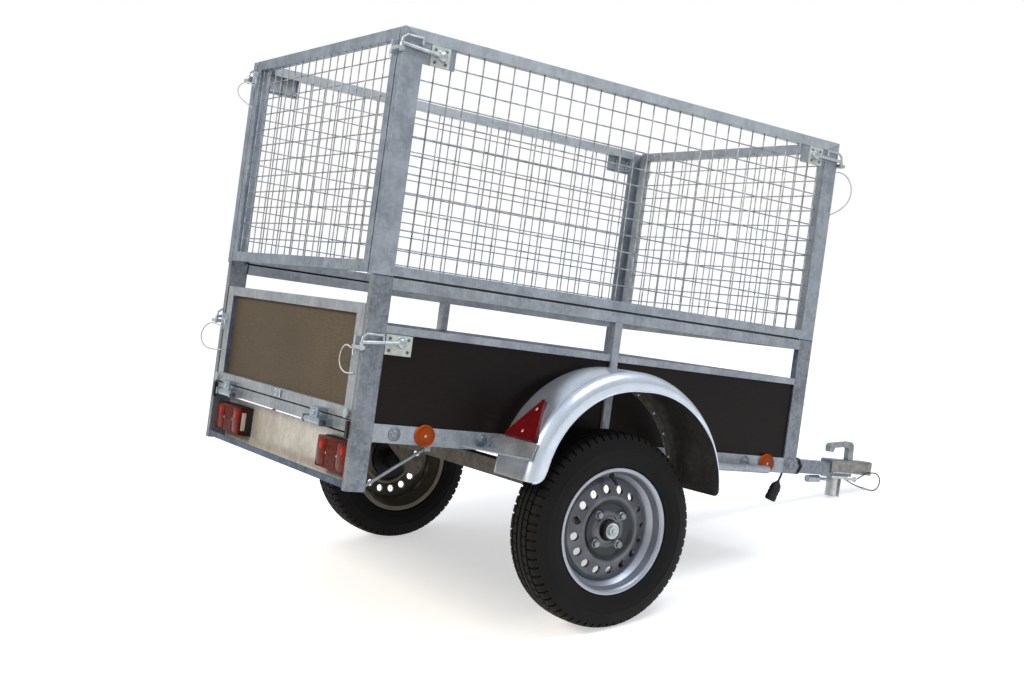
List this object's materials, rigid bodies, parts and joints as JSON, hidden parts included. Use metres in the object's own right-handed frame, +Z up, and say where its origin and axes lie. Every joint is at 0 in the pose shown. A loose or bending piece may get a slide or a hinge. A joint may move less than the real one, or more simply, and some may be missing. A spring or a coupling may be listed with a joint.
{
  "type": "utility trailer",
  "caption": "Galvanised single-axle box trailer with plywood sides, a drop tailgate, a welded-mesh cage with drop gates, fenders and a ball coupling.",
  "frame": {"origin": "middle of the bounding box, on the ground the tyres and the jockey-wheel clamp rest on", "axes": "+X forward towards the coupling, +Y to the left of the trailer, +Z up"},
  "size_m": [2.5704, 1.48, 1.6854],
  "materials": {
    "amber_reflector": "prismatic amber reflector",
    "black_plastic": "moulded",
    "black_rubber": "matt",
    "film_ply": "dark phenolic film faced plywood",
    "galvanised": "hot-dip galvanised, matt",
    "grip_plastic": "moulded",
    "lamp_plastic": "clear red lens in a black housing",
    "red_reflector": "prismatic red reflector",
    "rim_paint": "silver paint",
    "tyre_rubber": "matt",
    "white_plastic": "coated cord",
    "wire_rope": "bright wire rope",
    "zinc_steel": "zinc plated"
  },
  "bodies": {
    "trailer": {"axle_beam": "galvanised", "axle_brackets": "galvanised", "cage_latches": "galvanised", "cage_sides": "galvanised", "clamp_grip": "grip_plastic", "corner_posts": "galvanised", "coupling_head": "zinc_steel", "coupling_lever": "zinc_steel", "cross_bars": "galvanised", "diagonal_stays": "galvanised", "drawbar": "galvanised", "drawbar_strap": "black_rubber", "fender_brackets": "galvanised", "fenders": "galvanised", "floor_panel": "film_ply", "gate_pins": "galvanised", "hinge_lugs": "galvanised", "jockey_clamp": "zinc_steel", "light_board": "galvanised", "mid_posts": "galvanised", "plug": "black_plastic", "plug_lead": "black_plastic", "rear_stops": "black_rubber", "safety_cable": "wire_rope", "side_meshes": "galvanised", "side_reflectors": "amber_reflector", "sills": "galvanised", "swing_arms": "galvanised", "tail_lamps": "lamp_plastic", "tailgate_latches": "galvanised", "triangle_reflectors": "red_reflector", "upper_rails": "galvanised", "wall_panels": "film_ply", "wall_rails": "galvanised"},
    "wheel_right": {"tyre_right": "tyre_rubber", "rim_right": "rim_paint", "hub_right": "galvanised"},
    "wheel_left": {"tyre_left": "tyre_rubber", "rim_left": "rim_paint", "hub_left": "galvanised"},
    "tailgate": {"tailgate_frame": "galvanised", "tailgate_panel": "film_ply", "tailgate_hinge_leaves": "galvanised", "tailgate_buffers": "black_rubber", "lanyard_tailgate_right": "white_plastic", "lanyard_tailgate_left": "white_plastic"},
    "rear_gate": {"rear_gate_frame": "galvanised", "rear_gate_mesh": "galvanised", "lanyard_rear_gate_left": "white_plastic"},
    "front_gate": {"front_gate_frame": "galvanised", "front_gate_mesh": "galvanised", "lanyard_front_gate_right": "white_plastic"}
  },
  "joints": [
    {"name": "wheel_right_spin", "type": "hinge", "parent": "trailer", "child": "wheel_right", "pos_m": [-0.53831, -0.64, 0.281], "axis": [0, 1, 0], "continuous": true},
    {"name": "wheel_left_spin", "type": "hinge", "parent": "trailer", "child": "wheel_left", "pos_m": [-0.53831, 0.64, 0.281], "axis": [0, 1, 0], "continuous": true},
    {"name": "tailgate_hinge", "type": "hinge", "parent": "trailer", "child": "tailgate", "pos_m": [-1.2724, 0, 0.6444], "axis": [0, -1, 0], "range_deg": [0, 175]},
    {"name": "rear_gate_hinge", "type": "hinge", "parent": "trailer", "child": "rear_gate", "pos_m": [-1.15208, 0, 1.06073], "axis": [0, -1, 0], "range_deg": [0, 155]},
    {"name": "front_gate_hinge", "type": "hinge", "parent": "trailer", "child": "front_gate", "pos_m": [0.4204, 0, 0.73926], "axis": [0, 1, 0], "range_deg": [0, 125]}
  ]
}
